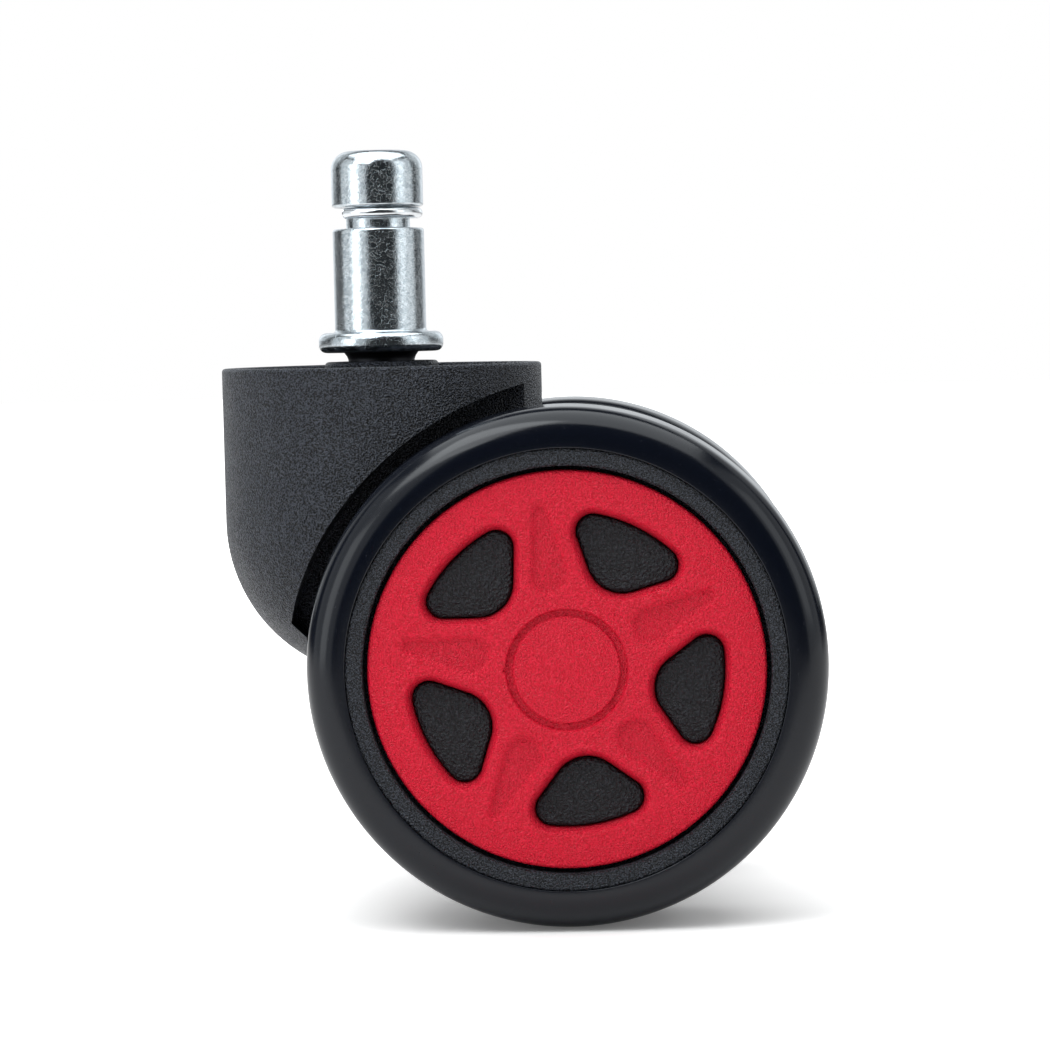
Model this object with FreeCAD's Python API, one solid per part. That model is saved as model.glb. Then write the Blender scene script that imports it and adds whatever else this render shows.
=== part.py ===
"""A twin-wheel chair caster with a push-in grip stem, made as separate parts, one STEP file each.

Units are millimetres. The origin is on the stem's axis, on the flange's top face, where the chair's
socket sits. +Z is up along the stem, +X points to the axle, and the two wheels lie at -Y (left) and
+Y (right). Each wheel part is drawn once about its own axis: u is the distance outward from the
caster's middle plane, and the two wheels are that drawing placed twice.
"""
import FreeCAD, Part
import math
import os

V = FreeCAD.Vector
ORIGIN = V(0, 0, 0)
Z = V(0, 0, 1)
OUT = "parts"
FULL_TURN = 360.0

# ---- driving dimensions -------------------------------------------------------------------------
# stem
STEM_R = 5.5             # 11 mm push-in stem
STEM_LENGTH = 21.7       # above the flange
HEAD_CROWN_R = 3.6       # flat on top of the head
HEAD_SHOULDER_Z = 19.5
GROOVE_TOP_Z = 15.0
GROOVE_BOTTOM_Z = 12.4
GROOVE_R = 3.85
FLANGE_R = 7.5
FLANGE_THICK = 2.4
PIN_R = 4.0              # the lower end that turns in the housing
PIN_END_Z = -30.0
RETAINER_GROOVE_R = 3.3
RETAINER_Z = (-25.2, -24.0)
# housing
HOOD_R = 19.25
HOOD_TOP_Z = -4.0
DOME_CENTRE_Z = -22.5
HOOD_WALL = 1.9
BOSS_R = 6.85
BOSS_TOP_Z = -3.5
HOOD_RIBS = 8
HOOD_RIB_THICK = 1.5
HOOD_RIB_TOP_Z = -5.8
WEB_HALF = 8.2
WEB_AXLE_R = 20.0
WEB_STEM_R = 17.0
WEB_EDGE = 2.8           # rounding of the web's long edges
ARCH_R = 38.8            # wheel arch, a wider circle than the wheel's own
ARCH_X = 26.8
ARCH_Z = -44.1
ARCH_FOOT_X = -10.8      # the arch's lower end, from where a slope runs in to the wheel
ARCH_FOOT_Z = -34.0
WHEEL_ROOM_R = 31.2      # below the slope the cut follows the wheel
SLEEVE_R = 5.3
SLEEVE_END_Z = -22.8
# axle and wheels
AXLE_X = 22.1
AXLE_Z = -38.7
AXLE_R = 4.0
AXLE_HALF = 24.5
RUNNING_GAP = 0.05       # radial, on every running fit
WHEEL_R = 30.0
TYRE_IN_U = 9.9
TYRE_OUT_U = 27.8
RIM_R = 25.2             # where the tyre meets the rim's flanges
BARREL_R = 24.4          # the tyre's seat between the flanges
RIM_IN_U = 10.1
RIM_OUT_U = 27.6
FLANGE_IN_U = 11.9
FLANGE_OUT_U = 25.8
BARREL_BORE_R = 22.5
COVER_SEAT_R = 23.2
PLATE_U = (22.6, 25.0)   # the disc that closes the core behind the cover
HUB_R = 8.2
HUB_IN_U = 8.9
BUSH_R = 5.2
CLIP_POCKET_R = 7.7
CLIP_POCKET_U = 22.2
CLIP_U = (22.4, 22.9)
CORE_RIBS = 10
CORE_RIB_THICK = 1.4
CORE_RIB_IN_U = 12.4
RING_RIB_R = (14.6, 16.0)
# cover
SPOKES = 5
FIRST_WINDOW_DEG = 62.4
COVER_R = 22.55
COVER_U = (25.0, 27.2)
COVER_EDGE = 0.55
WINDOW_OUTER_R = 18.0    # concentric with the wheel
WINDOW_CORNER_R = 2.0
WINDOW_CORNER_DEG = 15.55
WINDOW_INNER_R = 4.1
WINDOW_INNER_AT = 14.2
WINDOW_EDGE = 0.45
PAD_GAP = 0.12
PAD_TOP_U = 26.35
PAD_EDGE = 0.5
CENTRE_GROOVE_R = (6.05, 6.95)
CENTRE_GROOVE_DEPTH = 0.45
PEG_R = 1.0
PEG_AT_R = 20.4
PEG_END_U = 22.9

HALF_PITCH_DEG = 180.0 / SPOKES
WINDOW_DEGS = [FIRST_WINDOW_DEG + n * FULL_TURN / SPOKES for n in range(SPOKES)]
SPOKE_DEGS = [deg + HALF_PITCH_DEG for deg in WINDOW_DEGS]


# ---- drawing helpers ----------------------------------------------------------------------------
def polar(radius, degrees):
    """The point at that radius and angle in the XY plane."""
    angle = math.radians(degrees)
    return V(radius * math.cos(angle), radius * math.sin(angle), 0)


def outline(points):
    """A closed face in the XZ plane from (r, z) points. A point written as (r, z, "arc") is the
    middle of an arc between its two neighbours."""
    edges = []
    count = len(points)
    at = [V(p[0], 0, p[1]) for p in points]
    for i, point in enumerate(points):
        if len(point) == 3:
            edges.append(Part.Arc(at[i - 1], at[i], at[(i + 1) % count]).toShape())
        elif len(points[(i + 1) % count]) == 2:
            edges.append(Part.LineSegment(at[i], at[(i + 1) % count]).toShape())
    return Part.Face(Part.Wire(edges))


def turned(points):
    """The solid that an outline of (r, z) points sweeps about the Z axis."""
    return outline(points).revolve(ORIGIN, Z, FULL_TURN)


def tube(outer, inner, low, high):
    """A ring with flat ends. An inner radius of 0 makes a plain disc."""
    ring = Part.makeCylinder(outer, high - low, V(0, 0, low))
    if inner:
        ring = ring.cut(Part.makeCylinder(inner, high - low, V(0, 0, low)))
    return ring


def bar(angle, length, thick, low, high):
    """A radial bar from the Z axis outward at that angle, as ribs are made of."""
    box = Part.makeBox(length, thick, high - low, V(0, -thick / 2, low))
    box.rotate(ORIGIN, Z, angle)
    return box


def fused(solids):
    """One solid from several that touch or overlap."""
    whole = solids[0].multiFuse(solids[1:]) if len(solids) > 1 else solids[0]
    return whole.removeSplitter()


def edges_where(solid, test):
    """The edges whose middle point passes the test."""
    found = []
    for edge in solid.Edges:
        middle = edge.valueAt((edge.FirstParameter + edge.LastParameter) / 2)
        if test(edge, middle):
            found.append(edge)
    return found


def split_ring(centre_r, wire_r, gap_deg, height):
    """A ring bent from round wire, open towards -X."""
    section = Part.Wire([Part.Circle(V(centre_r, 0, height), V(0, 1, 0), wire_r).toShape()])
    ring = Part.Face(section).revolve(V(0, 0, height), Z, FULL_TURN - 2 * gap_deg)
    ring.rotate(ORIGIN, Z, 180.0 + gap_deg)
    return ring


# ---- stem group ---------------------------------------------------------------------------------
def stem():
    """Head, grip groove, shank, flange and the pin that turns in the housing."""
    chamfer = 0.25
    edge = 0.9
    cut = edge * (1 - math.sqrt(0.5))
    low, high = RETAINER_Z
    slack = 0.1
    return turned([
        (0, STEM_LENGTH),
        (HEAD_CROWN_R, STEM_LENGTH),
        (4.97, 20.98, "arc"),
        (STEM_R, HEAD_SHOULDER_Z),
        (STEM_R, GROOVE_TOP_Z + chamfer),
        (STEM_R - chamfer, GROOVE_TOP_Z),
        (GROOVE_R, GROOVE_TOP_Z),
        (GROOVE_R, GROOVE_BOTTOM_Z),
        (STEM_R - chamfer, GROOVE_BOTTOM_Z),
        (STEM_R, GROOVE_BOTTOM_Z - chamfer),
        (STEM_R, 0.35),
        (STEM_R + 0.1, 0.1, "arc"),
        (STEM_R + 0.35, 0),
        (FLANGE_R - edge, 0),
        (FLANGE_R - cut, -cut, "arc"),
        (FLANGE_R, -edge),
        (FLANGE_R, edge - FLANGE_THICK),
        (FLANGE_R - cut, cut - FLANGE_THICK, "arc"),
        (FLANGE_R - edge, -FLANGE_THICK),
        (PIN_R + 0.5, -FLANGE_THICK),
        (PIN_R + 0.14, -2.9, "arc"),
        (PIN_R, -3.3),
        (PIN_R, high + slack),
        (RETAINER_GROOVE_R, high + slack),
        (RETAINER_GROOVE_R, low - slack),
        (PIN_R, low - slack),
        (PIN_R, PIN_END_Z + 1.6),
        (2.75, PIN_END_Z + 0.4, "arc"),
        (1.0, PIN_END_Z),
        (0, PIN_END_Z),
    ])


def grip_ring():
    """The split wire ring that holds the stem in the chair's socket."""
    wire_r = 0.65
    return split_ring(4.75, wire_r, 42.0, GROOVE_TOP_Z - wire_r - 0.12)


def stem_retaining_ring():
    """The flat split ring that keeps the stem's pin in the housing."""
    low, high = RETAINER_Z
    ring = tube(4.9, RETAINER_GROOVE_R + 0.05, low, high)
    slot = Part.makeBox(6.0, 2.4, high - low, V(0, -1.2, low))
    return ring.cut(slot)


# ---- housing group ------------------------------------------------------------------------------
def hood_body():
    """A round hood with a flat top and a half-ball bottom, on the stem's axis."""
    rim_edge = 0.4
    diagonal = math.sqrt(0.5)
    return turned([
        (0, HOOD_TOP_Z),
        (HOOD_R - rim_edge, HOOD_TOP_Z),
        (HOOD_R - rim_edge * (1 - diagonal), HOOD_TOP_Z - rim_edge * (1 - diagonal), "arc"),
        (HOOD_R, HOOD_TOP_Z - rim_edge),
        (HOOD_R, DOME_CENTRE_Z),
        (HOOD_R * diagonal, DOME_CENTRE_Z - HOOD_R * diagonal, "arc"),
        (0, DOME_CENTRE_Z - HOOD_R),
    ])


def across(x, z, radius, half_width):
    """A cylinder parallel to the axle, centred on the middle plane."""
    return Part.makeCylinder(radius, 2 * half_width, V(x, -half_width, z), V(0, 1, 0))


def wheel_arch(extra, half_width):
    """The cut that clears both wheels: the arch down to its sloped foot, and the wheel's own circle."""
    arch = across(ARCH_X, ARCH_Z, ARCH_R + extra, half_width)
    reach = 2 * ARCH_R
    below = Part.makeBox(reach, 2 * half_width, reach, V(-reach / 2, -half_width, -reach))
    below.rotate(ORIGIN, V(0, 1, 0), 45)
    below.translate(V(ARCH_FOOT_X, 0, ARCH_FOOT_Z))
    return arch.cut(below).fuse(across(AXLE_X, AXLE_Z, WHEEL_ROOM_R + extra, half_width))


def rounded_sides(solid):
    """The solid with its edges in the web's two side faces rounded."""
    sides = edges_where(solid, lambda edge, at: abs(abs(at.y) - WEB_HALF) < 0.01)
    return solid.makeFillet(WEB_EDGE, sides)


def web_plate():
    """The web: two circles, at the axle and in the hood, joined by their outer tangents."""
    reach = math.hypot(AXLE_X, AXLE_Z - DOME_CENTRE_Z)
    along = math.atan2(AXLE_Z - DOME_CENTRE_Z, AXLE_X)
    lean = math.acos((WEB_STEM_R - WEB_AXLE_R) / reach)
    corners = []
    for side in (1, -1):
        normal = V(math.cos(along + side * lean), 0, math.sin(along + side * lean))
        corners.append(V(0, -WEB_HALF, DOME_CENTRE_Z) + normal * WEB_STEM_R)
        corners.append(V(AXLE_X, -WEB_HALF, AXLE_Z) + normal * WEB_AXLE_R)
    ring = [corners[0], corners[1], corners[3], corners[2], corners[0]]
    middle = Part.Face(Part.makePolygon(ring)).extrude(V(0, 2 * WEB_HALF, 0))
    stem_end = across(0, DOME_CENTRE_Z, WEB_STEM_R, WEB_HALF)
    axle_end = across(AXLE_X, AXLE_Z, WEB_AXLE_R, WEB_HALF)
    return rounded_sides(fused([middle, stem_end, axle_end]))


def dome_slice():
    """The part of the dome between the two wheels, with rounded sides."""
    reach = 2 * HOOD_R
    slab = Part.makeBox(2 * reach, 2 * WEB_HALF, reach, V(-reach, -WEB_HALF, DOME_CENTRE_Z - reach))
    half_ball = hood_body().common(slab)
    lowest = edges_where(half_ball, lambda edge, at: (
        abs(abs(at.y) - WEB_HALF) < 0.01 and at.z < DOME_CENTRE_Z - 1))
    return half_ball.makeFillet(WEB_EDGE, lowest)


def upper_slice():
    """The part of the hood between the two wheels, above the dome."""
    reach = 2 * HOOD_R
    slab = Part.makeBox(2 * reach, 2 * WEB_HALF, reach, V(-reach, -WEB_HALF, DOME_CENTRE_Z))
    return hood_body().common(slab)


def hood_hollow():
    """The ribbed hollow that is open at the hood's top, following the wheel arch."""
    deepest = -22.0
    edge = 0.4
    cut = edge * (1 - math.sqrt(0.5))
    wall_r = HOOD_R - HOOD_WALL
    room = turned([
        (BOSS_R, deepest),
        (wall_r, deepest),
        (wall_r, HOOD_TOP_Z - edge),
        (wall_r + cut, HOOD_TOP_Z - cut, "arc"),
        (wall_r + edge, HOOD_TOP_Z),
        (wall_r + edge, HOOD_TOP_Z + 1),
        (BOSS_R, HOOD_TOP_Z + 1),
    ])
    room = room.cut(wheel_arch(HOOD_WALL, HOOD_R + 1))
    for n in range(HOOD_RIBS):
        angle = (n + 0.5) * FULL_TURN / HOOD_RIBS
        room = room.cut(bar(angle, HOOD_R, HOOD_RIB_THICK, deepest - 1, HOOD_RIB_TOP_Z))
    return room


def web_coring():
    """Pockets in both faces of the web around the axle boss, which keep its walls even."""
    depth = 5.2
    pockets = []
    for n in range(6):
        cell = tube(15.4, 9.2, WEB_HALF - depth, WEB_HALF + 1)
        wedge = Part.makeCylinder(WEB_AXLE_R, 20, V(0, 0, 0), Z, 48.0)
        wedge.rotate(ORIGIN, Z, n * 60.0 + 21.0)
        pockets.append(cell.common(wedge))
    cells = Part.makeCompound(pockets)
    return [in_wheel_place(cells, side) for side in ("left", "right")]


def stem_bore():
    """The stepped bore for the sleeve, the pin, the retaining ring and the thrust disc."""
    low, high = RETAINER_Z
    return fused([
        tube(SLEEVE_R, 0, SLEEVE_END_Z, BOSS_TOP_Z + 1),
        tube(PIN_R + 0.2, 0, PIN_END_Z - 1.6, SLEEVE_END_Z),
        tube(SLEEVE_R, 0, low - 0.3, high + 0.3),
    ])


def boss():
    """The round boss that holds the sleeve, standing a little above the hood's rim."""
    edge = 0.5
    cut = edge * (1 - math.sqrt(0.5))
    foot_z = -12.0
    return turned([
        (0, BOSS_TOP_Z),
        (BOSS_R - edge, BOSS_TOP_Z),
        (BOSS_R - cut, BOSS_TOP_Z - cut, "arc"),
        (BOSS_R, BOSS_TOP_Z - edge),
        (BOSS_R, foot_z),
        (0, foot_z),
    ])


def housing():
    """Hood, web and bosses, moulded in one piece."""
    hood = hood_body().cut(wheel_arch(0, HOOD_R + 1))
    body = fused([hood, upper_slice(), dome_slice(), web_plate()])
    body = fused([body.cut(hood_hollow()), boss()])
    body = body.cut(stem_bore()).cut(across(AXLE_X, AXLE_Z, AXLE_R, WEB_HALF + 1))
    for pocket in web_coring():
        body = body.cut(pocket)
    return body.removeSplitter()


def swivel_sleeve():
    """The sleeve pressed into the boss, in which the stem's pin turns."""
    return tube(SLEEVE_R, PIN_R + RUNNING_GAP, SLEEVE_END_Z, BOSS_TOP_Z)


def thrust_disc():
    """The disc at the bottom of the bore that the pin's round end bears on."""
    return tube(PIN_R + 0.15, 0, PIN_END_Z - 1.6, PIN_END_Z - 0.05)


def axle():
    """The steel pin across the web, grooved near both ends for the clips."""
    groove_r = 3.4
    slack = 0.05
    low, high = CLIP_U
    chamfer = 0.5
    half = [
        (AXLE_R, low - slack),
        (groove_r, low - slack),
        (groove_r, high + slack),
        (AXLE_R, high + slack),
        (AXLE_R, AXLE_HALF - chamfer),
        (AXLE_R - chamfer, AXLE_HALF),
    ]
    other_half = [(r, -u) for r, u in reversed(half)]
    pin = turned([(0, -AXLE_HALF)] + other_half + half + [(0, AXLE_HALF)])
    return in_wheel_place(pin, "left")


def axle_clip():
    """A push-on clip: a thin washer whose inner teeth grip the axle's groove."""
    low, high = CLIP_U
    teeth = 6
    disc = tube(6.6, 3.45, low, high)
    for n in range(teeth):
        disc = disc.cut(bar(n * FULL_TURN / teeth, 5.2, 0.8, low, high))
    return disc


def spacer_washer():
    """The washer between the web and the wheel's hub."""
    return tube(7.4, AXLE_R + RUNNING_GAP, WEB_HALF, WEB_HALF + 0.5)


# ---- wheel group --------------------------------------------------------------------------------
def in_wheel_place(shape, side):
    """Carries a part drawn about its own axis to the left or the right wheel."""
    placed = shape.copy()
    placed.rotate(ORIGIN, V(1, 0, 0), 90)
    if side == "right":
        placed.rotate(ORIGIN, Z, 180)
    placed.translate(V(AXLE_X, 0, AXLE_Z))
    return placed


def tyre():
    """The cast tread: a crowned band with round shoulders, locked between the rim's flanges."""
    middle_u = (TYRE_IN_U + TYRE_OUT_U) / 2
    crown = 0.166            # the shoulders run into the crown without a crease at this drop
    shoulder = [(26.1, 0.0), (28.75, 1.15), (WHEEL_R - crown, 3.587)]
    outer = [(r, TYRE_OUT_U - u) for r, u in shoulder]
    inner = [(r, TYRE_IN_U + u) for r, u in reversed(shoulder)]
    return turned([
        (RIM_R, TYRE_OUT_U),
        outer[0],
        outer[1] + ("arc",),
        outer[2],
        (WHEEL_R, middle_u, "arc"),
        inner[0],
        inner[1] + ("arc",),
        inner[2],
        (RIM_R, TYRE_IN_U),
        (RIM_R, FLANGE_IN_U),
        (BARREL_R, FLANGE_IN_U),
        (BARREL_R, FLANGE_OUT_U),
        (RIM_R, FLANGE_OUT_U),
    ])


def window_face(shrink, height):
    """One window's outline about the +X direction: an arc concentric with the wheel outside, two
    round corners, straight sides, and a round inner end. shrink makes it that much smaller."""
    corner_r = WINDOW_CORNER_R - shrink
    inner_r = WINDOW_INNER_R - shrink
    outer_r = WINDOW_OUTER_R - shrink
    corner = polar(WINDOW_OUTER_R - WINDOW_CORNER_R, WINDOW_CORNER_DEG)
    inner = V(WINDOW_INNER_AT, 0, 0)
    across = corner - inner
    turn = math.atan2(across.y, across.x) + math.acos((inner_r - corner_r) / across.Length)
    normal = V(math.cos(turn), math.sin(turn), 0)
    side_start = inner + normal * inner_r
    side_end = corner + normal * corner_r
    corner_end = polar(outer_r, WINDOW_CORNER_DEG)
    middle_turn = (turn + math.radians(WINDOW_CORNER_DEG)) / 2
    corner_middle = corner + V(math.cos(middle_turn), math.sin(middle_turn), 0) * corner_r

    def mirrored(point):
        return V(point.x, -point.y, 0)

    edges = [
        Part.Arc(mirrored(side_start), V(WINDOW_INNER_AT - inner_r, 0, 0), side_start),
        Part.LineSegment(side_start, side_end),
        Part.Arc(side_end, corner_middle, corner_end),
        Part.Arc(corner_end, V(outer_r, 0, 0), mirrored(corner_end)),
        Part.Arc(mirrored(corner_end), mirrored(corner_middle), mirrored(side_end)),
        Part.LineSegment(mirrored(side_end), mirrored(side_start)),
    ]
    face = Part.Face(Part.Wire([edge.toShape() for edge in edges]))
    face.translate(V(0, 0, height))
    return face


def window_prisms(shrink, low, high):
    """The five windows as solids between two heights."""
    prisms = []
    for deg in WINDOW_DEGS:
        prism = window_face(shrink, low).extrude(V(0, 0, high - low))
        prism.rotate(ORIGIN, Z, deg)
        prisms.append(prism)
    return prisms


def peg_solids(radius, low, high):
    """Cylinders at the places of the cover's five pegs."""
    return [
        Part.makeCylinder(radius, high - low, polar(PEG_AT_R, deg) + V(0, 0, low))
        for deg in SPOKE_DEGS
    ]


def core():
    """The wheel's moulded centre: rim, closing plate, hub, ribs and the five pads."""
    plate_low, plate_high = PLATE_U
    edge = 0.3
    cut = edge * (1 - math.sqrt(0.5))
    rim = turned([
        (RIM_R, RIM_IN_U),
        (RIM_R, FLANGE_IN_U),
        (BARREL_R, FLANGE_IN_U),
        (BARREL_R, FLANGE_OUT_U),
        (RIM_R, FLANGE_OUT_U),
        (RIM_R, RIM_OUT_U - edge),
        (RIM_R - cut, RIM_OUT_U - cut, "arc"),
        (RIM_R - edge, RIM_OUT_U),
        (COVER_SEAT_R + edge, RIM_OUT_U),
        (COVER_SEAT_R + cut, RIM_OUT_U - cut, "arc"),
        (COVER_SEAT_R, RIM_OUT_U - edge),
        (COVER_SEAT_R, plate_high),
        (0, plate_high),
        (0, plate_low),
        (BARREL_BORE_R, plate_low),
        (BARREL_BORE_R, RIM_IN_U),
    ])
    solids = [rim, tube(HUB_R, 0, HUB_IN_U, plate_low)]
    inner_ring, outer_ring = RING_RIB_R
    solids.append(tube(outer_ring, inner_ring, CORE_RIB_IN_U, plate_low))
    for n in range(CORE_RIBS):
        angle = SPOKE_DEGS[0] + (n + 0.5) * FULL_TURN / CORE_RIBS
        length = BARREL_BORE_R + 0.5
        solids.append(bar(angle, length, CORE_RIB_THICK, CORE_RIB_IN_U, plate_low))
    body = fused(solids)
    for pad in window_prisms(PAD_GAP, plate_high, PAD_TOP_U):
        top = edges_where(pad, lambda e, at: at.z > PAD_TOP_U - 0.01)
        body = body.fuse(pad.makeFillet(PAD_EDGE, top))
    body = body.cut(tube(BUSH_R, 0, HUB_IN_U - 1, CLIP_POCKET_U))
    body = body.cut(tube(CLIP_POCKET_R, 0, CLIP_POCKET_U, plate_high + 1))
    for hole in peg_solids(PEG_R + RUNNING_GAP, plate_low - 1, plate_high + 1):
        body = body.cut(hole)
    return body.removeSplitter()


def bush():
    """The bearing bush pressed into the hub, which runs on the axle."""
    return tube(BUSH_R, AXLE_R + RUNNING_GAP, HUB_IN_U, CLIP_POCKET_U - 0.2)


def cover():
    """The decorative disc with five windows, a grooved centre and five pegs."""
    low, high = COVER_U
    cut = COVER_EDGE * (1 - math.sqrt(0.5))
    groove_in, groove_out = CENTRE_GROOVE_R
    disc = turned([
        (0, low),
        (COVER_R, low),
        (COVER_R, high - COVER_EDGE),
        (COVER_R - cut, high - cut, "arc"),
        (COVER_R - COVER_EDGE, high),
        (groove_out, high),
        (groove_out, high - CENTRE_GROOVE_DEPTH),
        (groove_in, high - CENTRE_GROOVE_DEPTH),
        (groove_in, high),
        (0, high),
    ])
    for window in window_prisms(0.0, low - 1, high + 1):
        disc = disc.cut(window)
    rims = edges_where(disc, lambda edge, at: (
        abs(at.z - high) < 0.01 and 9.5 < math.hypot(at.x, at.y) < WINDOW_OUTER_R + 0.1))
    disc = disc.makeFillet(WINDOW_EDGE, rims)
    return fused([disc] + peg_solids(PEG_R, PEG_END_U, low + 0.5))


# ---- writing the files --------------------------------------------------------------------------
def make_parts():
    """Every part by its node's name, in place."""
    parts = {
        "stem": stem(),
        "grip_ring": grip_ring(),
        "stem_retaining_ring": stem_retaining_ring(),
        "housing": housing(),
        "swivel_sleeve": swivel_sleeve(),
        "thrust_disc": thrust_disc(),
        "axle": axle(),
    }
    wheel_parts = {
        "tyre": tyre(),
        "core": core(),
        "cover": cover(),
        "bush": bush(),
        "axle_clip": axle_clip(),
        "spacer_washer": spacer_washer(),
    }
    for side in ("left", "right"):
        for name, shape in wheel_parts.items():
            parts[f"{side}_{name}"] = in_wheel_place(shape, side)
    return parts


def main():
    os.makedirs(OUT, exist_ok=True)
    for name, shape in make_parts().items():
        solids = shape.Solids
        good = all(solid.isValid() and solid.Volume > 0 for solid in solids)
        print(f"{name:22s} solids {len(solids)}  volume {shape.Volume:9.2f} mm3  valid {good}")
        whole = solids[0] if len(solids) == 1 else Part.makeCompound(solids)
        whole.exportStep(os.path.join(OUT, name + ".step"))


main()
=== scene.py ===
"""Looks of a twin-wheel chair caster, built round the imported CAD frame.

Lengths inside the drawing helpers are millimetres, and MM turns them into the frame's metres.
"""

import math

import bpy
import numpy as np
from mathutils import Matrix, Vector
from mathutils.geometry import delaunay_2d_cdt


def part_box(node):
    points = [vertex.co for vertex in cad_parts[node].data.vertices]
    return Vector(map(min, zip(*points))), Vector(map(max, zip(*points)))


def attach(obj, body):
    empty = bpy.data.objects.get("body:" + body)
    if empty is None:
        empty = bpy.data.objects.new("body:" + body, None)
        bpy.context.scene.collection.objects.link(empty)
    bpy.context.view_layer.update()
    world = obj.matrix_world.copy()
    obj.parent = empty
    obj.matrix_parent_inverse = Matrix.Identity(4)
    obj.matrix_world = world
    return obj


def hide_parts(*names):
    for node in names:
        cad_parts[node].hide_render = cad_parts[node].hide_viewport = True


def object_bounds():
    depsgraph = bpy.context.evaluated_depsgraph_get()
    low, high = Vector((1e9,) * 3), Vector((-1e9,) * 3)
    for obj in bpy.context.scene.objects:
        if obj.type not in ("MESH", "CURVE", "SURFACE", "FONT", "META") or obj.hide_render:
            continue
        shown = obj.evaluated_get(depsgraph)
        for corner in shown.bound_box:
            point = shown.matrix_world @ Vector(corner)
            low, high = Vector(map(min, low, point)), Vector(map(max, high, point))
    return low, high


MM = 0.001
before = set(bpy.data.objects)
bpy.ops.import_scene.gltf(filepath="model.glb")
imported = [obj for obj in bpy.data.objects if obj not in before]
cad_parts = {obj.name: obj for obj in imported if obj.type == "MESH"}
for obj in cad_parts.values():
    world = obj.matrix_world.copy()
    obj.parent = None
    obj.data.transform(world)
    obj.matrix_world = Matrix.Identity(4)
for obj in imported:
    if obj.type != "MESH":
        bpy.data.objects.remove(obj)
CAD_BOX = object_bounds()


def middle(node):
    """The centre of a CAD node's box, in metres."""
    low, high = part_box(node)
    return (low + high) / 2


TYRE_LOW, TYRE_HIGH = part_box("left_tyre")
AXLE = Vector((middle("left_tyre").x, 0.0, middle("left_tyre").z))
FLOOR_Z = CAD_BOX[0].z
STEM_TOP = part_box("stem")[1].z / MM
TYRE_OUT = -TYRE_LOW.y / MM          # u of the tyre's outer and inner side faces
TYRE_IN = -TYRE_HIGH.y / MM
WHEEL_R = (TYRE_HIGH.z - TYRE_LOW.z) / 2 / MM
COVER_TOP = -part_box("left_cover")[0].y / MM


# ---- mesh helpers -------------------------------------------------------------------------------
def arc(start, through, end, count):
    """Points on the circle through three (r, u) points, both ends included."""
    ax, ay = start
    bx, by = through
    cx, cy = end
    d = 2 * (ax * (by - cy) + bx * (cy - ay) + cx * (ay - by))
    a2, b2, c2 = ax * ax + ay * ay, bx * bx + by * by, cx * cx + cy * cy
    ox = (a2 * (by - cy) + b2 * (cy - ay) + c2 * (ay - by)) / d
    oy = (a2 * (cx - bx) + b2 * (ax - cx) + c2 * (bx - ax)) / d
    radius = math.hypot(ax - ox, ay - oy)
    t0, t1, t2 = (math.atan2(y - oy, x - ox) for x, y in (start, through, end))
    turn = (t2 - t0) % math.tau
    if (t1 - t0) % math.tau > turn:
        turn -= math.tau
    steps = [t0 + turn * i / count for i in range(count + 1)]
    return [(ox + radius * math.cos(t), oy + radius * math.sin(t)) for t in steps]


def filleted(points, count=5):
    """A closed outline of (r, u) points. A third number rounds that corner to that radius."""
    made = []
    total = len(points)
    for i, point in enumerate(points):
        if len(point) == 2:
            made.append(point)
            continue
        here = Vector(point[:2])
        before = (Vector(points[i - 1][:2]) - here).normalized()
        after = (Vector(points[(i + 1) % total][:2]) - here).normalized()
        half = before.angle(after) / 2
        back = point[2] / math.tan(half)
        start, end = here + before * back, here + after * back
        centre = here + (before + after).normalized() * (point[2] / math.sin(half))
        through = centre + (here - centre).normalized() * point[2]
        made += arc(tuple(start), tuple(through), tuple(end), count)
    return made


def mesh_object(name, verts, faces, place=Matrix.Identity(4), sharp_deg=32.0):
    """A mesh piece from points in millimetres, smooth but for edges sharper than sharp_deg."""
    mesh = bpy.data.meshes.new(name)
    mesh.from_pydata([place @ (Vector(v) * MM) for v in verts], [], faces)
    mesh.validate()
    mesh.shade_smooth()
    mesh.set_sharp_from_angle(angle=math.radians(sharp_deg))
    piece = bpy.data.objects.new(name, mesh)
    bpy.context.scene.collection.objects.link(piece)
    even = piece.modifiers.new("even_normals", "WEIGHTED_NORMAL")
    even.keep_sharp = True
    even.weight = 100
    return piece


def lathe(outline, segments=256):
    """Points and faces of a closed (r, u) outline turned about the u axis."""
    verts, rows = [], []
    for r, u in outline:
        if r < 1e-6:
            rows.append([len(verts)] * segments)
            verts.append((0.0, 0.0, u))
            continue
        rows.append(list(range(len(verts), len(verts) + segments)))
        for i in range(segments):
            t = math.tau * i / segments
            verts.append((r * math.cos(t), r * math.sin(t), u))
    faces = []
    for k, row in enumerate(rows):
        after = rows[(k + 1) % len(rows)]
        if outline[k][0] < 1e-6 and outline[(k + 1) % len(rows)][0] < 1e-6:
            continue
        for i in range(segments):
            j = (i + 1) % segments
            face = (row[i], row[j], after[j], after[i])
            faces.append(tuple(dict.fromkeys(face)))
    return verts, faces


def wheel_place(side):
    """Carries a wheel piece, drawn about its own axis, to the left or the right wheel."""
    turn = Matrix.Rotation(math.pi / 2, 4, "X")
    if side == "right":
        turn = Matrix.Rotation(math.pi, 4, "Z") @ turn
    return Matrix.Translation(AXLE) @ turn


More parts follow.
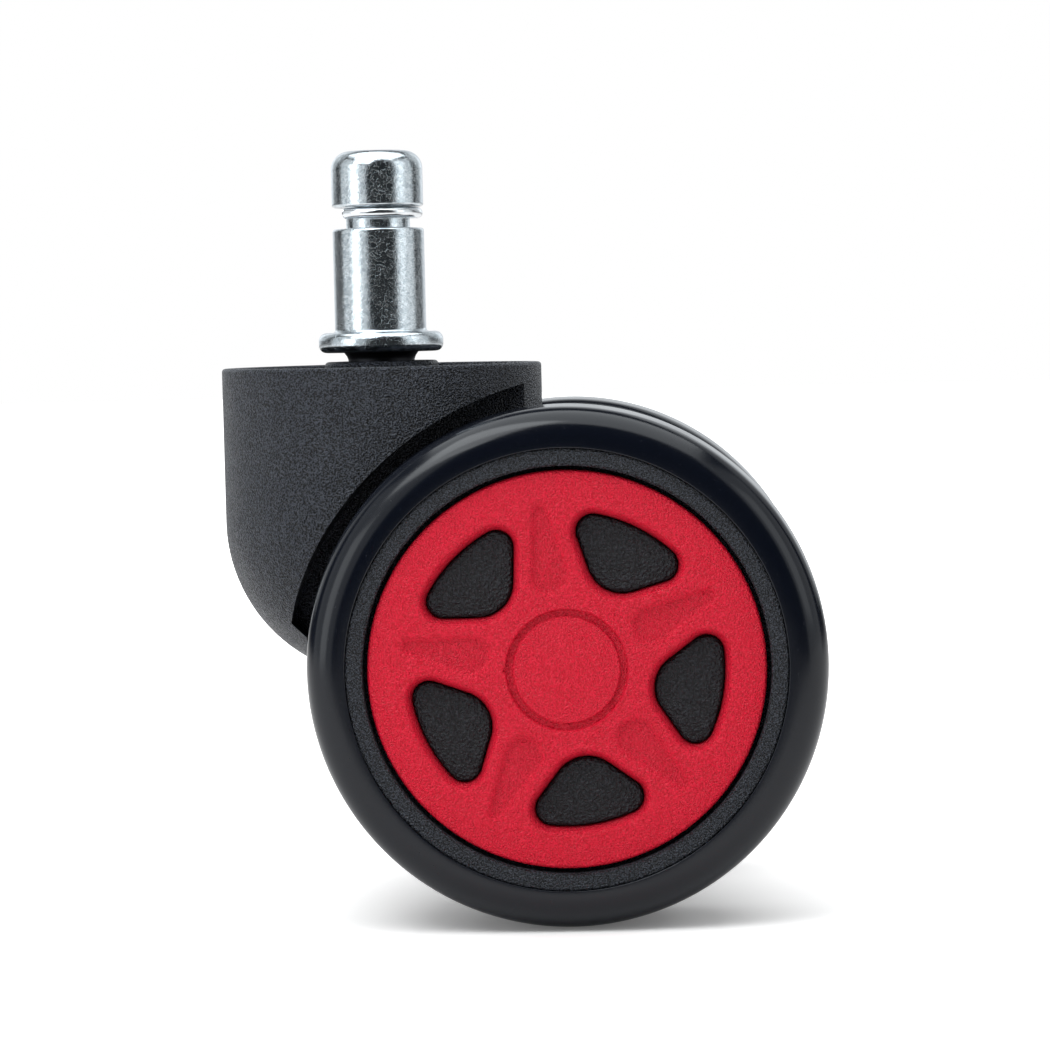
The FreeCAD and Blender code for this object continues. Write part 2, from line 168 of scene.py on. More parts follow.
# ---- stem and its grip ring ---------------------------------------------------------------------
STEM_R = 5.5
GROOVE = (12.4, 15.0)                # the grip ring's groove, low and high
GROOVE_R = 3.85
FLANGE_R = 7.5
FLANGE_LOW = -2.4
PIN_R = 4.0
RETAINER_GROOVE = (-25.3, -23.9)
RETAINER_GROOVE_R = 3.3
FINE_EDGE = 0.1                      # rounding of the pin's groove edges
WIRE_R = 0.65
RING_R = 4.75
RING_GAP_DEG = 42.0                  # half of the grip ring's gap
WIRE_END_EDGE = 0.16


def stem_outline():
    """Head, grip groove, shank, flange and pin, with corners slightly rounded as rolled steel is."""
    low, high = GROOVE
    ring_low, ring_high = RETAINER_GROOVE
    pin_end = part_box("stem")[0].z / MM
    head = arc((3.6, STEM_TOP), (4.97, 20.98), (STEM_R, 19.5), 14)
    return filleted([
        (0.0, pin_end),
        (0.0, STEM_TOP),
        *head,
        (STEM_R, high, 0.35),
        (GROOVE_R, high, 0.15),
        (GROOVE_R, low, 0.15),
        (STEM_R, low, 0.3),
        (STEM_R, 0.0, 0.35),
        (FLANGE_R, 0.0, 0.95),
        (FLANGE_R, FLANGE_LOW, 0.9),
        (PIN_R + 0.5, FLANGE_LOW),
        (PIN_R + 0.14, FLANGE_LOW - 0.5),
        (PIN_R, FLANGE_LOW - 0.9),
        (PIN_R, ring_high, FINE_EDGE),
        (RETAINER_GROOVE_R, ring_high, FINE_EDGE),
        (RETAINER_GROOVE_R, ring_low, FINE_EDGE),
        (PIN_R, ring_low, FINE_EDGE),
        (PIN_R, pin_end + 1.6),
        *arc((3.85, pin_end + 1.2), (2.75, pin_end + 0.4), (1.0, pin_end), 6),
    ], 6)


def grip_ring():
    """A split ring of round wire, open towards -X, its cut ends slightly rounded."""
    play = 0.12                      # under the groove's upper wall
    height = GROOVE[1] - WIRE_R - play
    sides, steps, edge_steps = 24, 150, 4
    span = math.radians(360 - 2 * RING_GAP_DEG)
    edge = WIRE_END_EDGE
    slack = edge / RING_R            # the angle that an end's rounding takes
    rounds = []
    for i in range(edge_steps, 0, -1):
        t = math.pi / 2 * i / edge_steps
        across = math.sqrt(max(edge ** 2 - (edge * math.cos(t)) ** 2, 0.0))
        rounds.append((slack - slack * math.sin(t), WIRE_R - edge + across))
    turns = list(rounds)
    turns += [(slack + (span - 2 * slack) * i / steps, WIRE_R) for i in range(steps + 1)]
    turns += [(span - t, r) for t, r in reversed(rounds)]
    start = math.radians(180 + RING_GAP_DEG)
    verts, faces = [], []
    for turn, r in turns:
        t = start + turn
        for s in range(sides):
            p = math.tau * s / sides
            out = RING_R + r * math.cos(p)
            verts.append((out * math.cos(t), out * math.sin(t), height + r * math.sin(p)))
    for k in range(len(turns) - 1):
        for s in range(sides):
            n = (s + 1) % sides
            a, b = k * sides, (k + 1) * sides
            faces.append((a + s, b + s, b + n, a + n))
    faces.append(tuple(range(sides)))
    faces.append(tuple(reversed(range((len(turns) - 1) * sides, len(turns) * sides))))
    return verts, faces


# ---- tyre ---------------------------------------------------------------------------------------
RIM_R = 25.2                         # where the tyre's side faces end, on the rim
BARREL_R = 24.4                      # the tyre's seat between the rim's flanges
BARREL = (11.9, 25.8)
FOOT_EDGE = 0.12
SHOULDER_DROP = 0.166                # the shoulder runs into the crown without a crease here
SHOULDER_WIDTH = 3.587


def tyre_outline():
    """A crowned band with full round shoulders, seated between the rim's flanges."""
    middle_u = (TYRE_IN + TYRE_OUT) / 2
    seat_in, seat_out = BARREL
    shoulder = arc((26.1, 0.0), (28.75, 1.15), (WHEEL_R - SHOULDER_DROP, SHOULDER_WIDTH), 22)
    outer = [(r, TYRE_OUT - u) for r, u in shoulder]
    inner = [(r, TYRE_IN + u) for r, u in reversed(shoulder)]
    crown = arc(outer[-1], (WHEEL_R, middle_u), inner[0], 12)[1:-1]
    return filleted([
        (RIM_R, TYRE_OUT, FOOT_EDGE),
        *outer,
        *crown,
        *inner,
        (RIM_R, TYRE_IN, FOOT_EDGE),
        (RIM_R, seat_in),
        (BARREL_R, seat_in),
        (BARREL_R, seat_out),
        (RIM_R, seat_out),
    ], 5)


# ---- cover --------------------------------------------------------------------------------------
SPOKES = 5
FIRST_WINDOW_DEG = 62.4
COVER_R = 22.7
COVER_LOW = 25.0
RIM_EDGE = 0.4
LIP = 0.8                            # width of the soft lip round each window
LIP_DEPTH = 1.3
CENTRE_CROWN = 0.12                  # the centre disc is slightly domed
CROWN_FROM = 17.5                    # outside this radius the face falls away gently
CROWN_DROP = 0.22
GROOVE_IN, GROOVE_OUT = 6.05, 6.95
GROOVE_DEPTH = 0.45
HOLLOW_DEPTH = 0.38
WINDOW_OUTER_R = 18.0
CORNER_R, CORNER_DEG = 2.0, 15.55
INNER_R, INNER_AT = 4.1, 14.2
TEAR_AT = (11.0, 18.2)               # the spoke hollow's two round ends and their radii
TEAR_R = (2.1, 0.75)
NICK = 0.28                          # the centre groove's small outward nick, at 180 degrees
PEG_R, PEG_AT, PEG_END = 1.0, 20.4, 22.9
WINDOW_DRAFT = 0.06                  # how far the windows' walls draw in towards the back
MESH_STEP = 0.33                     # spacing of the face's points


def window_loop(grow, deg):
    """One window's outline, larger by grow on every side, as points in order."""
    corner = Vector((math.cos(math.radians(CORNER_DEG)), math.sin(math.radians(CORNER_DEG))))
    corner *= WINDOW_OUTER_R - CORNER_R
    inner = Vector((INNER_AT, 0.0))
    across = corner - inner
    turn = math.atan2(across.y, across.x) + math.acos((INNER_R - CORNER_R) / across.length)
    side = Vector((math.cos(turn), math.sin(turn)))

    def swing(centre, radius, start, end, count):
        steps = [start + (end - start) * i / count for i in range(count + 1)]
        return [centre + Vector((math.cos(t), math.sin(t))) * radius for t in steps]

    upper = swing(inner, INNER_R + grow, math.pi, turn, 16)[1:]
    start, end = inner + side * (INNER_R + grow), corner + side * (CORNER_R + grow)
    upper += [start.lerp(end, i / 9) for i in range(1, 9)]
    upper += swing(corner, CORNER_R + grow, turn, math.radians(CORNER_DEG), 16)
    top = swing(Vector((0, 0)), WINDOW_OUTER_R + grow, math.radians(CORNER_DEG), 0.0, 14)[1:]
    half = upper + top
    whole = [inner + Vector((-INNER_R - grow, 0))] + half
    whole += [Vector((p.x, -p.y)) for p in reversed(half[:-1])]
    spin = Matrix.Rotation(math.radians(deg), 2)
    return [spin @ p for p in whole]


def inside(points, loop):
    """Which of the points lie inside the closed loop."""
    x, y = points[:, 0], points[:, 1]
    found = np.zeros(len(points), bool)
    for a, b in zip(loop, np.roll(loop, -1, axis=0)):
        crosses = (a[1] > y) != (b[1] > y)
        rise = np.where(b[1] == a[1], 1e-12, b[1] - a[1])
        found ^= crosses & (x < (b[0] - a[0]) * (y - a[1]) / rise + a[0])
    return found


def loop_distance(points, loop):
    """Each point's distance to a closed loop's edges."""
    best = np.full(len(points), 1e9)
    for a, b in zip(loop, np.roll(loop, -1, axis=0)):
        edge = b - a
        t = np.clip(((points - a) @ edge) / (edge @ edge), 0, 1)
        best = np.minimum(best, np.hypot(*(points - a - t[:, None] * edge).T))
    return best


def quarter(depth, reach):
    """How far a quarter round of that radius has dropped, reach in from its outer edge."""
    short = np.clip(depth - reach, 0, depth)
    return depth - np.sqrt(depth ** 2 - short ** 2)


def smooth(low, high, value):
    """0 below low, 1 above high, and a smooth step between."""
    t = np.clip((value - low) / (high - low), 0, 1)
    return t * t * (3 - 2 * t)


def hollow(points):
    """The shallow tear-shaped hollow along each spoke, 0 to 1."""
    deep = np.zeros(len(points))
    near, far = TEAR_AT
    for n in range(SPOKES):
        turn = math.radians(FIRST_WINDOW_DEG + (n + 0.5) * 360 / SPOKES)
        along = points @ np.array((math.cos(turn), math.sin(turn)))
        aside = np.abs(points @ np.array((-math.sin(turn), math.cos(turn))))
        t = np.clip((along - near) / (far - near), 0, 1)
        radius = TEAR_R[0] + (TEAR_R[1] - TEAR_R[0]) * t
        gap = np.hypot(along - near - (far - near) * t, aside) - radius
        deep = np.maximum(deep, 1 - smooth(-0.3, 0.3, gap))
    return deep


def cover_height(points, edge_gap):
    """The face's height over the plane; edge_gap is each point's distance from the nearest window."""
    r = np.hypot(points[:, 0], points[:, 1])
    angle = np.degrees(np.arctan2(points[:, 1], points[:, 0]))
    nick = NICK * (1 - smooth(1.0, 2.4, 180 - np.abs(angle)))
    groove = smooth(GROOVE_IN - 0.08, GROOVE_IN + 0.1, r)
    groove *= 1 - smooth(GROOVE_OUT - 0.1 + nick, GROOVE_OUT + 0.08 + nick, r)
    crown = np.clip((r - CROWN_FROM) / (COVER_R - CROWN_FROM), 0, 1) ** 2 * CROWN_DROP
    height = COVER_TOP - crown - GROOVE_DEPTH * groove - HOLLOW_DEPTH * hollow(points)
    height -= LIP_DEPTH * np.clip(1 - edge_gap / LIP, 0, 1) ** 1.35
    height -= quarter(RIM_EDGE, COVER_R - r)
    height -= CENTRE_CROWN * np.where(r < GROOVE_IN, (r / GROOVE_IN) ** 2, 0.0)
    return height


def ring_points(radius, count):
    """Points in order on a circle about the wheel's axis."""
    turns = [math.tau * i / count for i in range(count)]
    return [Vector((radius * math.cos(t), radius * math.sin(t))) for t in turns]


def triangulated(loops, spread, keep):
    """Triangles over closed loops and spread points, as (points, triangles, loop indices)."""
    points, edges, spans = [], [], []
    for loop in loops:
        first = len(points)
        points += loop
        count = len(loop)
        edges += [(first + i, first + (i + 1) % count) for i in range(count)]
        spans.append(range(first, first + count))
    points += spread
    out, _, faces, origin, _, _ = delaunay_2d_cdt(points, edges, [], 0, 1e-5)
    place = {old: new for new, olds in enumerate(origin) for old in olds}
    flat = np.array([tuple(p) for p in out])
    centres = np.array([flat[list(f)].mean(axis=0) for f in faces])
    faces = [f for f, good in zip(faces, keep(centres)) if good]
    return flat, faces, [[place[i] for i in span] for span in spans]


def face_points(windows, rim_r):
    """Evenly spread points over the face, clear of its edges, its windows' lips and the groove."""
    reach = int(COVER_R / MESH_STEP) + 1
    grid = range(-reach, reach + 1)
    spread = np.array([((i + 0.5 * (j % 2)) * MESH_STEP, j * MESH_STEP * math.sqrt(0.75))
                       for j in grid for i in grid])
    r = np.hypot(spread[:, 0], spread[:, 1])
    clear = (r < rim_r - 0.12) & ((r < GROOVE_IN - 0.3) | (r > GROOVE_OUT + 0.65))
    for loop in windows:
        clear &= ~inside(spread, loop) & (loop_distance(spread, loop) > LIP + 0.15)
    return [Vector(p) for p in spread[clear]]


def pegs(degs, first):
    """The five clip pegs on the cover's back, as points and faces numbered from first."""
    low = COVER_LOW + 0.3            # a peg starts inside the disc
    peg = filleted([(0.0, PEG_END), (PEG_R, PEG_END, 0.2), (PEG_R, low), (0.0, low)], 3)
    points, sides = lathe(list(reversed(peg)), 32)
    verts, faces = [], []
    for deg in degs:
        turn = math.radians(deg + 180 / SPOKES)
        at = first + len(verts)
        x, y = PEG_AT * math.cos(turn), PEG_AT * math.sin(turn)
        verts += [(px + x, py + y, pz) for px, py, pz in points]
        faces += [tuple(at + i for i in side) for side in sides]
    return verts, faces


def cover():
    """The decorative disc: domed face, round-lipped windows, spoke hollows, grooved centre, pegs."""
    degs = [FIRST_WINDOW_DEG + n * 360 / SPOKES for n in range(SPOKES)]
    grows = [LIP * i / 7 for i in range(8)]
    rims = [COVER_R - RIM_EDGE * (1 - math.cos(math.pi / 2 * i / 5)) for i in range(6)]
    groove = (5.85, 5.97, 6.05, 6.15, 6.3, 6.7, 6.85, 6.95, 7.03, 7.15, 7.31, 7.45)
    loops = [window_loop(0, deg) for deg in degs]
    windows = [np.array([tuple(p) for p in loop]) for loop in loops]
    loops += [ring_points(r, 300) for r in rims] + [ring_points(r, 180) for r in groove]
    loops += [window_loop(g, deg) for deg in degs for g in grows[1:]]

    def solid(centres, holes=windows):
        good = np.hypot(centres[:, 0], centres[:, 1]) < COVER_R
        for loop in holes:
            good &= ~inside(centres, loop)
        return good

    flat, faces, spans = triangulated(loops, face_points(windows, rims[-1]), solid)
    gap = np.min([loop_distance(flat, loop) for loop in windows], axis=0)
    for span in spans[:SPOKES]:
        gap[span] = 0.0
    verts = [(x, y, z) for (x, y), z in zip(flat, cover_height(flat, gap))]

    draft = [window_loop(-WINDOW_DRAFT, deg) for deg in degs]
    narrow = [np.array([tuple(p) for p in loop]) for loop in draft]
    back_loops = draft + loops[SPOKES:SPOKES + 1]
    back_flat, back_faces, back_spans = triangulated(back_loops, [], lambda at: solid(at, narrow))
    first = len(verts)
    verts += [(x, y, COVER_LOW) for x, y in back_flat]
    faces += [tuple(first + i for i in reversed(f)) for f in back_faces]
    for top, low in zip(spans[:SPOKES + 1], back_spans):
        for i in range(len(top)):
            j = (i + 1) % len(top)
            faces.append((top[i], top[j], first + low[j], first + low[i]))
    peg_verts, peg_faces = pegs(degs, len(verts))
    return verts + peg_verts, faces + peg_faces


# ---- materials ----------------------------------------------------------------------------------
class Shader:
    """One procedural material on a Principled shader, in the frame's own coordinates."""

    def __init__(self, name):
        self.material = bpy.data.materials.new(name)
        self.material.use_nodes = True
        self.tree = self.material.node_tree
        self.tree.nodes.clear()
        self.out = self.node("OutputMaterial")
        self.main = self.node("BsdfPrincipled")
        self.link(self.main.outputs[0], self.out.inputs["Surface"])
        self.at = self.node("TexCoord").outputs["Object"]

    def link(self, source, target):
        self.tree.links.new(source, target)

    def node(self, kind, settings=None, **inputs):
        made = self.tree.nodes.new("ShaderNode" + kind)
        for key, value in (settings or {}).items():
            setattr(made, key, value)
        for key, value in inputs.items():
            self.set(made.inputs[key.replace("_", " ")], value)
        return made

    def set(self, socket, value):
        if isinstance(value, bpy.types.NodeSocket):
            self.link(value, socket)
        else:
            socket.default_value = value

    def noise(self, scale, detail=2.0, rough=0.5, at=None, stretch=None):
        source = at or self.at
        if stretch:
            source = self.node("Mapping", Vector=source, Scale=stretch).outputs[0]
        made = self.node("TexNoise", Vector=source, Scale=scale, Detail=detail, Roughness=rough)
        return made.outputs["Fac"]

    def cells(self, scale, feature="F1", output="Distance", at=None):
        made = self.node("TexVoronoi", {"feature": feature}, Vector=at or self.at, Scale=scale)
        return made.outputs[output]

    def math(self, operation, a, b=0.0):
        made = self.tree.nodes.new("ShaderNodeMath")
        made.operation = operation
        self.set(made.inputs[0], a)
        self.set(made.inputs[1], b)
        return made.outputs[0]

    def ramp(self, value, low, high, to_low, to_high):
        made = self.node("MapRange", Value=value)
        ends = {"From Min": low, "From Max": high, "To Min": to_low, "To Max": to_high}
        for name, number in ends.items():
            made.inputs[name].default_value = number
        return made.outputs[0]

    def blend(self, factor, a, b):
        made = self.tree.nodes.new("ShaderNodeMix")
        made.data_type = "RGBA"
        self.set(made.inputs[0], factor)
        self.set(made.inputs[6], a)
        self.set(made.inputs[7], b)
        return made.outputs[2]

    def pick(self, factor, a, b):
        """A number between a and b."""
        made = self.node("Mix", {"data_type": "FLOAT"})
        for spot, value in zip((0, 2, 3), (factor, a, b)):
            self.set(made.inputs[spot], value)
        return made.outputs[0]

    def finish(self, colour, rough, height=None, depth=0.0, **constants):
        self.set(self.main.inputs["Base Color"], colour)
        self.set(self.main.inputs["Roughness"], rough)
        for key, value in constants.items():
            self.main.inputs[key.replace("_", " ")].default_value = value
        if height is not None:
            bump = self.node("Bump", Height=height, Strength=1.0, Distance=depth)
            self.link(bump.outputs[0], self.main.inputs["Normal"])
        return self.material

    def spark(self, fine, pits):
        """The even grain of a spark-eroded mould: fine noise with small pits."""
        return self.math("ADD", self.noise(fine, 0.8, 0.5),
                         self.math("MULTIPLY", self.cells(pits, "SMOOTH_F1"), 0.35))

    def axle_radius(self):
        """Distance from the wheels' axis, in metres."""
        away = self.node("VectorMath", {"operation": "SUBTRACT"})
        self.set(away.inputs[0], self.at)
        away.inputs[1].default_value = AXLE
        flat = self.node("VectorMath", {"operation": "MULTIPLY"})
        self.set(flat.inputs[0], away.outputs[0])
        flat.inputs[1].default_value = (1.0, 0.0, 1.0)
        length = self.node("VectorMath", {"operation": "LENGTH"})
        self.set(length.inputs[0], flat.outputs[0])
        return length.outputs["Value"]


PAD_EDGE_R = 0.0215                  # metres; the pads' leather grain lies inside this radius


def nylon(name, pads=False):
    """Spark-textured black nylon. With pads, a coarser leather-like grain inside the rim."""
    s = Shader(name)
    grain = s.spark(5000, 4200)
    glint = s.ramp(grain, 0.55, 0.80, 0.0, 0.85 if pads else 1.35)
    if pads:
        wrinkle = s.noise(3300, 1.5, 0.6)
        leather = s.math("ADD", wrinkle, s.math("MULTIPLY", s.cells(2700, "SMOOTH_F1"), 0.4))
        inner = s.ramp(s.axle_radius(), PAD_EDGE_R, PAD_EDGE_R - 0.0002, 0.0, 1.0)
        glint = s.pick(inner, glint, s.ramp(leather, 0.62, 0.86, 0.0, 0.26))
        grain = s.pick(inner, grain, leather)
    colour = s.blend(glint, (0.0005, 0.0008, 0.002, 1), (0.042, 0.047, 0.061, 1))
    worn = s.ramp(s.noise(260, 3.0), 0.3, 0.7, 0.40, 0.50)
    rough = s.math("SUBTRACT", worn, s.math("MULTIPLY", glint, 0.1))
    return s.finish(colour, rough, grain, 6.0e-4, Specular_IOR_Level=0.32)


def polyurethane():
    """Cast polyurethane: dark, smooth and glossy, with faint round handling marks and dust."""
    s = Shader("black_polyurethane_cast")
    broad = s.noise(90, 3.0, 0.55)
    specks = s.noise(2600, 2.0, 0.7)
    dust = s.ramp(specks, 0.66, 0.78, 0.0, 1.0)
    radius = s.axle_radius()
    line = s.node("CombineXYZ", X=radius, Y=s.math("MULTIPLY", broad, 0.0006), Z=0.0).outputs[0]
    rings = s.noise(5200, 2.0, 0.5, at=line)
    colour = s.blend(s.math("MULTIPLY", dust, 0.25), (0.0025, 0.0036, 0.0072, 1), (0.03, 0.032, 0.037, 1))
    rough = s.math("ADD", s.ramp(broad, 0.3, 0.7, 0.13, 0.2), s.math("MULTIPLY", dust, 0.2))
    height = s.math("ADD", s.math("MULTIPLY", rings, 0.25), s.math("MULTIPLY", specks, 0.2))
    return s.finish(colour, rough, height, 8.0e-6, Specular_IOR_Level=0.33)


def red_plastic():
    """Matt red moulded plastic: fine grain, slightly uneven tone, pale scuffs, and painted shade that
    darkens the red with depth below the face.
    """
    s = Shader("red_moulded_plastic")
    grain = s.spark(4800, 4000)
    broad = s.noise(110, 4.0, 0.6)
    glint = s.ramp(grain, 0.50, 0.82, 0.0, 1.0)
    speckled = s.blend(glint, (0.50, 0.0014, 0.014, 1), (0.69, 0.0055, 0.032, 1))
    scuffs = s.ramp(s.noise(700, 4.0, 0.7, stretch=(1.0, 1.0, 0.25)), 0.62, 0.72, 0.0, 0.3)
    patchy = s.math("MULTIPLY", scuffs, s.ramp(broad, 0.5, 0.65, 0.0, 1.0))
    toned = s.blend(s.ramp(broad, 0.3, 0.7, 0.0, 0.35), speckled, (0.58, 0.0075, 0.03, 1))
    scuffed = s.blend(patchy, toned, (0.68, 0.055, 0.085, 1))
    # Painted shade: the red darkens with depth below the face, most in the windows' lips, less in the
    # groove, the spoke hollows and the falling rim.
    depth = s.math("ABSOLUTE", s.node("SeparateXYZ", Vector=s.at).outputs["Y"])
    top = COVER_TOP * MM
    painted_recess_shade = s.ramp(depth, top - 0.0002, top - 0.0011, 0.0, 0.6)
    colour = s.blend(painted_recess_shade, scuffed, (0.16, 0.0006, 0.004, 1))
    rough = s.ramp(broad, 0.3, 0.7, 0.38, 0.48)
    return s.finish(colour, rough, grain, 2.6e-4, Specular_IOR_Level=0.24)


def zinc():
    """Bright bluish zinc plating, mottled by fine crystals, and painted shade that darkens it below the
    flange.
    """
    s = Shader("zinc_plated_steel")
    crystal = s.cells(2600, "F1", "Color")
    tone = s.node("SeparateColor", Color=crystal).outputs[0]
    cloud = s.noise(900, 4.0, 0.7)
    fine = s.noise(5200, 2.0, 0.6)
    lines = s.noise(1500, 2.0, 0.5, stretch=(1.0, 1.0, 0.08))
    mottle = s.math("ADD", s.math("MULTIPLY", tone, 0.4), s.math("MULTIPLY", cloud, 0.6))
    plating = s.blend(mottle, (0.33, 0.38, 0.41, 1), (0.76, 0.805, 0.835, 1))
    # Painted shade: below the flange the plating turns near black, standing in for the shade there and
    # the black hood's reflection.
    height_z = s.node("SeparateXYZ", Vector=s.at).outputs["Z"]
    below = s.ramp(height_z, -0.0020, -0.0024, 0.0, 1.0)
    colour = s.blend(below, plating, (0.035, 0.036, 0.04, 1))
    rough = s.ramp(mottle, 0.25, 0.75, 0.12, 0.2)
    rough = s.math("ADD", rough, s.math("MULTIPLY", below, 0.3))
    height = s.math("ADD", s.math("MULTIPLY", fine, 0.6), s.math("MULTIPLY", tone, 0.35))
    height = s.math("ADD", height, s.math("MULTIPLY", lines, 0.2))
    return s.finish(colour, rough, height, 2.8e-5, Metallic=1.0)


def bare_metal(name, dark, light, gloss, lines_along):
    """Drawn or turned steel with fine lines along the given stretch."""
    s = Shader(name)
    lines = s.noise(2400, 3.0, 0.6, stretch=lines_along)
    cloud = s.noise(300, 3.0)
    colour = s.blend(cloud, dark, light)
    rough = s.ramp(lines, 0.3, 0.7, gloss, gloss + 0.12)
    return s.finish(colour, rough, lines, 4.0e-6, Metallic=1.0)


def acetal():
    """Milky white acetal with a slight gloss."""
    s = Shader("white_acetal_moulded")
    cloud = s.noise(500, 3.0)
    colour = s.blend(cloud, (0.74, 0.74, 0.71, 1), (0.82, 0.82, 0.8, 1))
    return s.finish(colour, s.ramp(cloud, 0.3, 0.7, 0.32, 0.42), s.noise(3000, 2.0), 6.0e-6)


FINISHES = {
    "zinc_steel": zinc(),
    "spring_steel": bare_metal(
        "spring_steel_wire", (0.60, 0.62, 0.64, 1), (0.82, 0.84, 0.86, 1), 0.14, (1.0, 1.0, 0.2)),
    "plain_steel": bare_metal(
        "turned_steel", (0.40, 0.40, 0.39, 1), (0.58, 0.58, 0.57, 1), 0.26, (1.0, 0.1, 1.0)),
    "black_nylon": nylon("black_nylon_spark"),
    "white_acetal": acetal(),
    "black_polyurethane": polyurethane(),
    "red_plastic": red_plastic(),
}
PAD_NYLON = nylon("black_nylon_pads", pads=True)


def finish_piece(piece, slot, material=None):
    """Gives a new piece one material: the one given, else the finish for that slot."""
    piece.data.materials.clear()
    piece.data.materials.append(material or FINISHES[slot])


# ---- pieces -------------------------------------------------------------------------------------
for name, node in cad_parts.items():
    for spot in node.material_slots:
        slot_name = spot.material.name.split(".")[0]
        spot.material = PAD_NYLON if name.endswith("core") else FINISHES[slot_name]

stem = mesh_object("stem_turned", *lathe(list(reversed(stem_outline())), 192))
finish_piece(stem, "zinc_steel")
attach(stem, "stem")
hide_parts("stem")

ring = mesh_object("grip_ring_wire", *grip_ring(), sharp_deg=50.0)
finish_piece(ring, "spring_steel")
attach(ring, "grip_ring")
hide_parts("grip_ring")

TYRE_MESH = lathe(tyre_outline(), 320)
COVER_MESH = cover()
for side in ("left", "right"):
    body = side + "_wheel"
    tyre = mesh_object(side + "_tyre_cast", *TYRE_MESH, place=wheel_place(side))
    finish_piece(tyre, "black_polyurethane")
    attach(tyre, body)
    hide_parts(side + "_tyre")
    disc = mesh_object(side + "_cover_moulded", *COVER_MESH, place=wheel_place(side), sharp_deg=50.0)
    finish_piece(disc, "red_plastic")
    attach(disc, body)
    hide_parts(side + "_cover")


# ---- floor, light and camera --------------------------------------------------------------------
FLOOR_BOUNCE = 0.2                   # the floor's glow as other rays see it


def floor():
    """A pale floor that glows, with painted light that keeps it white except round the wheels' contact,
    where a soft shadow shows.
    """
    reach, front = 3.0, -0.25        # metres; it ends in front, where a table would
    corners = [(-reach, front), (reach, front), (reach, reach), (-reach, reach)]
    mesh = bpy.data.meshes.new("studio_floor")
    mesh.from_pydata([(x, y, FLOOR_Z) for x, y in corners], [], [(0, 1, 2, 3)])
    piece = bpy.data.objects.new("studio_floor", mesh)
    bpy.context.scene.collection.objects.link(piece)
    s = Shader("pale_floor")
    far = s.node("VectorMath", {"operation": "DISTANCE"})
    s.set(far.inputs[0], s.at)
    far.inputs[1].default_value = (AXLE.x, -0.019, FLOOR_Z)
    seen = s.pick(s.node("LightPath").outputs["Is Camera Ray"], FLOOR_BOUNCE, 1.0)
    # Painted light: the glow is least near a point on the floor just in front of the axle, so the soft
    # shadow shows only there, and it rises far off to keep the floor white.
    near_glow = s.ramp(far.outputs["Value"], 0.010, 0.050, 0.10, 0.66)
    far_glow = s.ramp(far.outputs["Value"], 0.07, 0.5, 0.0, 0.9)
    glow = s.math("MULTIPLY", seen, s.math("ADD", near_glow, far_glow))
    s.main.inputs["Base Color"].default_value = (0.90, 0.865, 0.845, 1)
    s.main.inputs["Roughness"].default_value = 0.9
    s.main.inputs["Specular IOR Level"].default_value = 0.1
    s.main.inputs["Emission Color"].default_value = (1, 1, 1, 1)
    s.set(s.main.inputs["Emission Strength"], glow)
    mesh.materials.append(s.material)


DAYLIGHT = (0.93, 0.975, 1.0)
LIT_POINT = (0.015, 0.0, -0.02)


def softbox(name, azimuth, elevation, distance, width, height, radiance):
    """A soft area light aimed at the caster. Azimuth 0 is the camera's side, positive to the right."""
    a, e = math.radians(azimuth), math.radians(elevation)
    towards = Vector((math.sin(a) * math.cos(e), -math.cos(a) * math.cos(e), math.sin(e)))
    lamp = bpy.data.lights.new(name, "AREA")
    lamp.shape = "RECTANGLE"
    lamp.size, lamp.size_y = width, height
    lamp.energy = radiance * math.pi * width * height
    lamp.color = DAYLIGHT
    light = bpy.data.objects.new(name, lamp)
    bpy.context.scene.collection.objects.link(light)
    light.location = Vector(LIT_POINT) + towards * distance
    light.rotation_mode = "QUATERNION"
    light.rotation_quaternion = towards.to_track_quat("Z", "Y")
    light.visible_camera = False


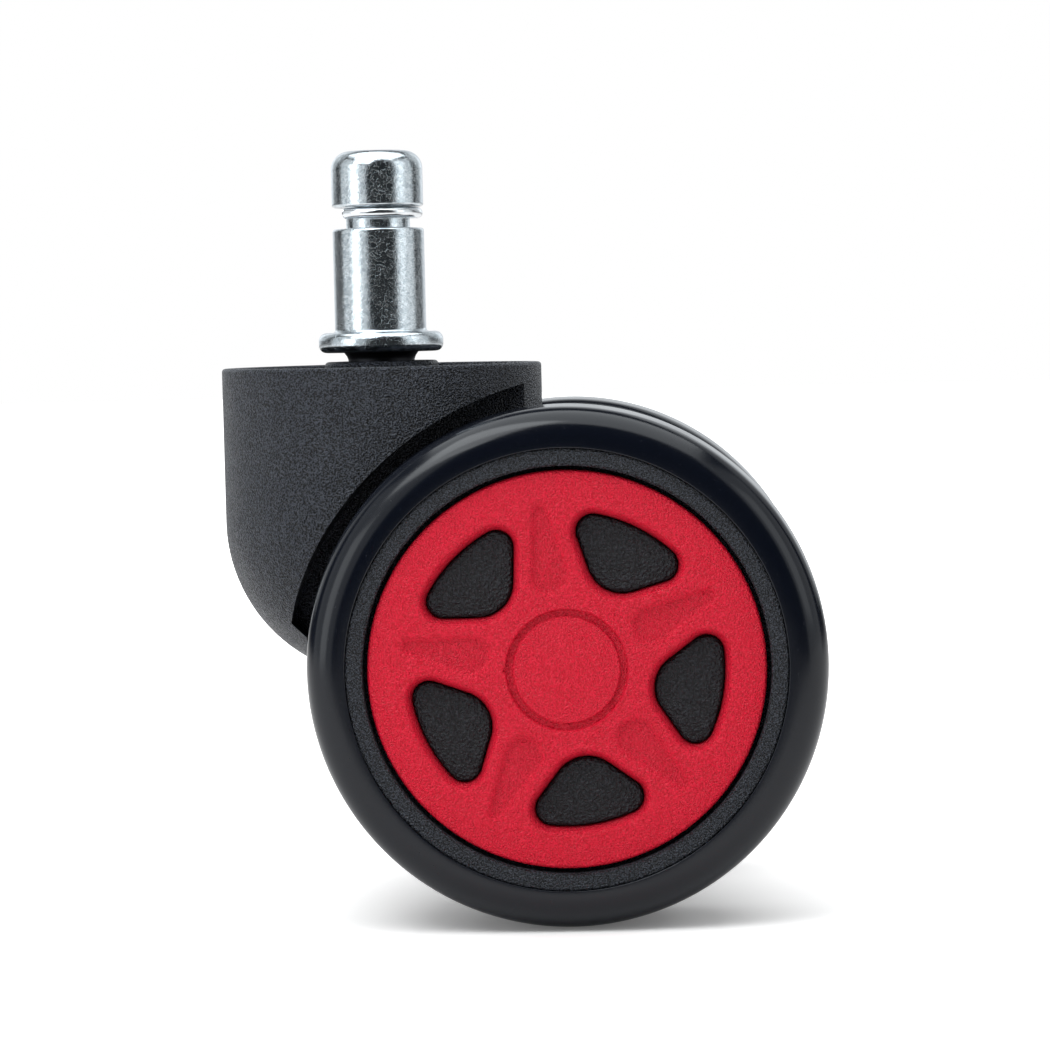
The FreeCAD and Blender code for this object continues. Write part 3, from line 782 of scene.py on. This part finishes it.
def studio_world():
    """White to the camera, and to everything else a dim room with a bright backdrop behind."""
    world = bpy.data.worlds.new("studio")
    bpy.context.scene.world = world
    world.use_nodes = True
    tree = world.node_tree
    tree.nodes.clear()
    out = tree.nodes.new("ShaderNodeOutputWorld")
    mix = tree.nodes.new("ShaderNodeMixShader")
    path = tree.nodes.new("ShaderNodeLightPath")
    room = tree.nodes.new("ShaderNodeBackground")
    white = tree.nodes.new("ShaderNodeBackground")
    room.inputs[0].default_value = (0.92, 0.96, 1.0, 1)
    heading = tree.nodes.new("ShaderNodeTexCoord")
    split = tree.nodes.new("ShaderNodeSeparateXYZ")
    backdrop = tree.nodes.new("ShaderNodeMapRange")
    ends = {"From Min": 0.72, "From Max": 0.88, "To Min": 0.04, "To Max": 0.95}
    for name, number in ends.items():
        backdrop.inputs[name].default_value = number
    tree.links.new(heading.outputs["Generated"], split.inputs[0])
    tree.links.new(split.outputs["Y"], backdrop.inputs["Value"])
    tree.links.new(backdrop.outputs[0], room.inputs[1])
    white.inputs[0].default_value = (1, 1, 1, 1)
    white.inputs[1].default_value = 1.0
    tree.links.new(path.outputs["Is Camera Ray"], mix.inputs[0])
    tree.links.new(room.outputs[0], mix.inputs[1])
    tree.links.new(white.outputs[0], mix.inputs[2])
    tree.links.new(mix.outputs[0], out.inputs[0])


CAMERA_AT = (31.433, -420.0, 0.79)
CAMERA_TURN_DEG = (1.991, 3.337, 1.371)      # yaw to the left, pitch down, roll
LENS_MM = 119.41


def camera():
    """The photograph's view: close to square on the wheel, from a little above it."""
    yaw, pitch, roll = (math.radians(a) for a in CAMERA_TURN_DEG)
    ahead = Vector((-math.sin(yaw), math.cos(yaw), 0.0))
    forward = ahead * math.cos(pitch) - Vector((0.0, 0.0, math.sin(pitch)))
    level_right = Vector((math.cos(yaw), math.sin(yaw), 0.0))
    level_up = level_right.cross(forward)
    right = level_right * math.cos(roll) - level_up * math.sin(roll)
    up = level_up * math.cos(roll) + level_right * math.sin(roll)
    lens = bpy.data.cameras.new("photo_camera")
    lens.lens, lens.sensor_width = LENS_MM, 36.0
    lens.clip_start, lens.clip_end = 0.01, 20.0
    eye = bpy.data.objects.new("photo_camera", lens)
    bpy.context.scene.collection.objects.link(eye)
    turn = Matrix((right, up, -forward)).transposed().to_4x4()
    eye.matrix_world = Matrix.Translation(Vector(CAMERA_AT) * MM) @ turn
    bpy.context.scene.camera = eye


floor()
softbox("left_softbox", -62, 14, 0.60, 0.90, 0.80, 0.80)
softbox("left_key", -57, 10, 0.55, 0.22, 0.30, 1.8)
softbox("left_near", -38, 52, 0.24, 0.15, 0.15, 4.2)
softbox("right_softbox", 76, 14, 0.60, 0.64, 0.80, 0.80)
softbox("right_key", 66, 20, 0.55, 0.20, 0.34, 1.0)
softbox("top_softbox", 0, 88, 0.62, 0.90, 0.75, 2.6)
softbox("back_left_fill", -140, 25, 0.80, 0.60, 0.60, 0.6)
softbox("back_right_fill", 140, 25, 0.80, 0.60, 0.60, 0.6)
studio_world()
camera()
bpy.context.scene.view_settings.view_transform = "Standard"
